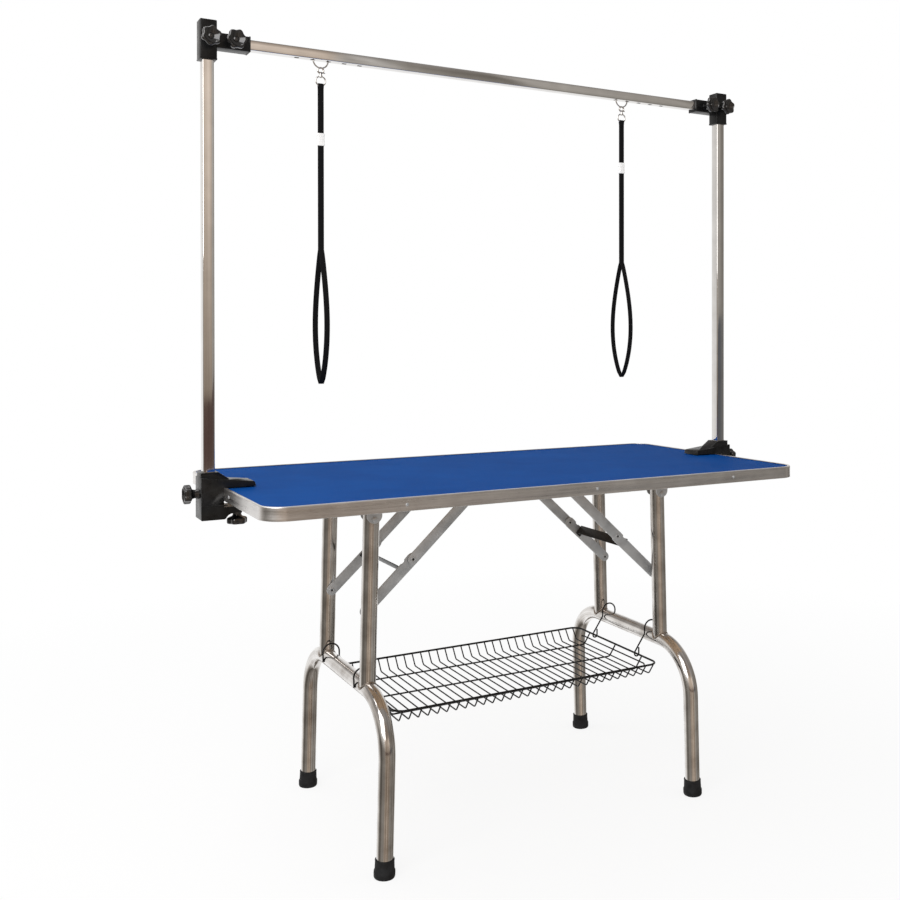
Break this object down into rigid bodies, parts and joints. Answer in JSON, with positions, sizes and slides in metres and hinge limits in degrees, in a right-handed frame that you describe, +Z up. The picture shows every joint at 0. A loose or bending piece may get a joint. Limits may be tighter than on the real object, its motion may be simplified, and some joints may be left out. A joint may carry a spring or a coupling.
{
  "type": "folding pet grooming table",
  "caption": "Folding grooming table with a trimmed rubber-topped board, two folding tube leg frames, a hanging wire tray, and a height-adjustable overhead arm with clamps and nooses.",
  "frame": {"origin": "on the floor under the middle of the table top", "axes": "+X along the table top to the right-hand clamp, +Y to the rear, +Z up"},
  "size_m": [1.3402, 0.6, 1.601],
  "materials": {
    "board": "plain",
    "mat": "matt, fine pebble",
    "trim": "satin, drawn along its length",
    "leg_tube": "brushed along the tube",
    "stay_plate": "zinc plated, satin",
    "arm_tube": "bright, brushed along the tube",
    "snap": "polished",
    "casting": "satin black paint",
    "knob": "gloss black",
    "tray_wire": "black coating",
    "foot_rubber": "matt black",
    "strap": "woven black webbing",
    "slider": "white"
  },
  "bodies": {
    "table_top": {"table_board": "board", "rubber_mat": "mat", "edge_trim": "trim", "left_clamp": "casting", "right_clamp": "casting", "left_front_leg_bracket": "stay_plate", "left_front_stay_bracket": "stay_plate", "left_rear_leg_bracket": "stay_plate", "left_rear_stay_bracket": "stay_plate", "right_front_leg_bracket": "stay_plate", "right_front_stay_bracket": "stay_plate", "right_rear_leg_bracket": "stay_plate", "right_rear_stay_bracket": "stay_plate"},
    "left_leg_frame": {"left_foot_hoop": "leg_tube", "left_front_leg_tube": "leg_tube", "left_front_foot_cap": "foot_rubber", "left_rear_leg_tube": "leg_tube", "left_rear_foot_cap": "foot_rubber"},
    "left_upper_stays": {"left_front_upper_stay": "stay_plate", "left_rear_upper_stay": "stay_plate"},
    "left_lower_stays": {"left_front_lower_stay": "stay_plate", "left_rear_lower_stay": "stay_plate", "left_cross_strip": "casting"},
    "right_leg_frame": {"right_foot_hoop": "leg_tube", "right_front_leg_tube": "leg_tube", "right_front_foot_cap": "foot_rubber", "right_rear_leg_tube": "leg_tube", "right_rear_foot_cap": "foot_rubber"},
    "right_upper_stays": {"right_front_upper_stay": "stay_plate", "right_rear_upper_stay": "stay_plate"},
    "right_lower_stays": {"right_front_lower_stay": "stay_plate", "right_rear_lower_stay": "stay_plate", "right_cross_strip": "casting"},
    "left_tray_hooks": {"left_front_tray_hook": "tray_wire", "left_rear_tray_hook": "tray_wire"},
    "tray": {"wire_tray": "tray_wire", "right_front_tray_hook": "tray_wire", "right_rear_tray_hook": "tray_wire"},
    "left_clamp_knob": {"left_clamp_knob": "knob"},
    "left_clamp_pad": {"left_clamp_pad": "foot_rubber"},
    "left_clamp_screw": {"left_clamp_screw": "knob"},
    "right_clamp_knob": {"right_clamp_knob": "knob"},
    "right_clamp_pad": {"right_clamp_pad": "foot_rubber"},
    "right_clamp_screw": {"right_clamp_screw": "knob"},
    "overhead_arm": {"left_post": "arm_tube", "right_post": "arm_tube", "left_corner_bracket": "casting", "right_corner_bracket": "casting", "top_bar": "arm_tube"},
    "left_outer_bracket_knob": {"left_outer_bracket_knob": "knob"},
    "left_inner_bracket_knob": {"left_inner_bracket_knob": "knob"},
    "right_outer_bracket_knob": {"right_outer_bracket_knob": "knob"},
    "right_inner_bracket_knob": {"right_inner_bracket_knob": "knob"},
    "left_noose": {"left_noose_snap": "snap", "left_noose_strap": "strap"},
    "left_noose_slider": {"left_noose_slider": "slider"},
    "right_noose": {"right_noose_snap": "snap", "right_noose_strap": "strap"},
    "right_noose_slider": {"right_noose_slider": "slider"}
  },
  "joints": [
    {"name": "left_leg_fold", "type": "hinge", "parent": "table_top", "child": "left_leg_frame", "pos_m": [-0.342, 0, 0.645], "axis": [0, -1, 0], "range_deg": [0, 91.5]},
    {"name": "left_upper_stay_fold", "type": "hinge", "parent": "table_top", "child": "left_upper_stays", "pos_m": [-0.125, 0, 0.664], "axis": [0, -1, 0], "range_deg": [-44.95, 0]},
    {"name": "left_lower_stay_fold", "type": "hinge", "parent": "left_leg_frame", "child": "left_lower_stays", "pos_m": [-0.34675, 0, 0.46006], "axis": [0, -1, 0], "range_deg": [0, 35.22]},
    {"name": "right_leg_fold", "type": "hinge", "parent": "table_top", "child": "right_leg_frame", "pos_m": [0.342, 0, 0.645], "axis": [0, 1, 0], "range_deg": [0, 79.5]},
    {"name": "right_upper_stay_fold", "type": "hinge", "parent": "table_top", "child": "right_upper_stays", "pos_m": [0.125, 0, 0.664], "axis": [0, 1, 0], "range_deg": [-37.66, 0]},
    {"name": "right_lower_stay_fold", "type": "hinge", "parent": "right_leg_frame", "child": "right_lower_stays", "pos_m": [0.34675, 0, 0.46006], "axis": [0, 1, 0], "range_deg": [0, 39.61]},
    {"name": "left_hook_hang", "type": "hinge", "parent": "left_leg_frame", "child": "left_tray_hooks", "pos_m": [-0.35048, 0, 0.31471], "axis": [0, -1, 0], "range_deg": [-91.6, 0]},
    {"name": "tray_hang", "type": "hinge", "parent": "right_leg_frame", "child": "tray", "pos_m": [0.35048, 0, 0.31471], "axis": [0, -1, 0], "range_deg": [0, 124.7]},
    {"name": "left_clamp_knob_turn", "type": "hinge", "parent": "table_top", "child": "left_clamp_knob", "pos_m": [-0.648, 0.007, 0.698], "axis": [-1, 0, 0], "continuous": true},
    {"name": "left_clamp_pad_travel", "type": "slide", "parent": "table_top", "child": "left_clamp_pad", "axis": [0, 0, -1], "range_m": [0, 0.006]},
    {"name": "left_clamp_screw_turn", "type": "hinge", "parent": "left_clamp_pad", "child": "left_clamp_screw", "pos_m": [-0.569, 0.007, 0.65], "axis": [0, 0, -1], "range_deg": [0, 1440]},
    {"name": "right_clamp_knob_turn", "type": "hinge", "parent": "table_top", "child": "right_clamp_knob", "pos_m": [0.648, 0.007, 0.698], "axis": [1, 0, 0], "continuous": true},
    {"name": "right_clamp_pad_travel", "type": "slide", "parent": "table_top", "child": "right_clamp_pad", "axis": [0, 0, -1], "range_m": [0, 0.006]},
    {"name": "right_clamp_screw_turn", "type": "hinge", "parent": "right_clamp_pad", "child": "right_clamp_screw", "pos_m": [0.569, 0.007, 0.65], "axis": [0, 0, -1], "range_deg": [0, 1440]},
    {"name": "arm_height", "type": "slide", "parent": "table_top", "child": "overhead_arm", "axis": [0, 0, 1], "range_m": [-0.15, 0.05]},
    {"name": "left_outer_knob_turn", "type": "hinge", "parent": "overhead_arm", "child": "left_outer_bracket_knob", "pos_m": [-0.624, -0.0086, 1.5635], "axis": [0, -1, 0], "continuous": true},
    {"name": "left_inner_knob_turn", "type": "hinge", "parent": "overhead_arm", "child": "left_inner_bracket_knob", "pos_m": [-0.577, -0.0086, 1.5635], "axis": [0, -1, 0], "continuous": true},
    {"name": "right_outer_knob_turn", "type": "hinge", "parent": "overhead_arm", "child": "right_outer_bracket_knob", "pos_m": [0.624, -0.0086, 1.5635], "axis": [0, -1, 0], "continuous": true},
    {"name": "right_inner_knob_turn", "type": "hinge", "parent": "overhead_arm", "child": "right_inner_bracket_knob", "pos_m": [0.577, -0.0086, 1.5635], "axis": [0, -1, 0], "continuous": true},
    {"name": "left_noose_swing", "type": "hinge", "parent": "overhead_arm", "child": "left_noose", "pos_m": [-0.3995, 0.007, 1.5541], "axis": [0, -1, 0], "range_deg": [-12, 25]},
    {"name": "left_slider_travel", "type": "slide", "parent": "left_noose", "child": "left_noose_slider", "axis": [0, 0, 1], "range_m": [-0.19, 0.08]},
    {"name": "right_noose_swing", "type": "hinge", "parent": "overhead_arm", "child": "right_noose", "pos_m": [0.3335, 0.007, 1.5541], "axis": [0, 1, 0], "range_deg": [-12, 25]},
    {"name": "right_slider_travel", "type": "slide", "parent": "right_noose", "child": "right_noose_slider", "axis": [0, 0, 1], "range_m": [-0.19, 0.08]}
  ],
  "couplings": [
    {"joint": "left_upper_stay_fold", "follows": "left_leg_fold", "ratio": -0.49016},
    {"joint": "left_lower_stay_fold", "follows": "left_leg_fold", "ratio": 0.38383},
    {"joint": "right_upper_stay_fold", "follows": "right_leg_fold", "ratio": -0.47245},
    {"joint": "right_lower_stay_fold", "follows": "right_leg_fold", "ratio": 0.49698},
    {"joint": "left_hook_hang", "follows": "left_leg_fold", "ratio": -1},
    {"joint": "tray_hang", "follows": "right_leg_fold", "ratio": 1.566},
    {"joint": "left_clamp_pad_travel", "follows": "left_clamp_screw_turn", "m_per_rad": 0.00023873},
    {"joint": "right_clamp_pad_travel", "follows": "right_clamp_screw_turn", "m_per_rad": 0.00023873}
  ]
}
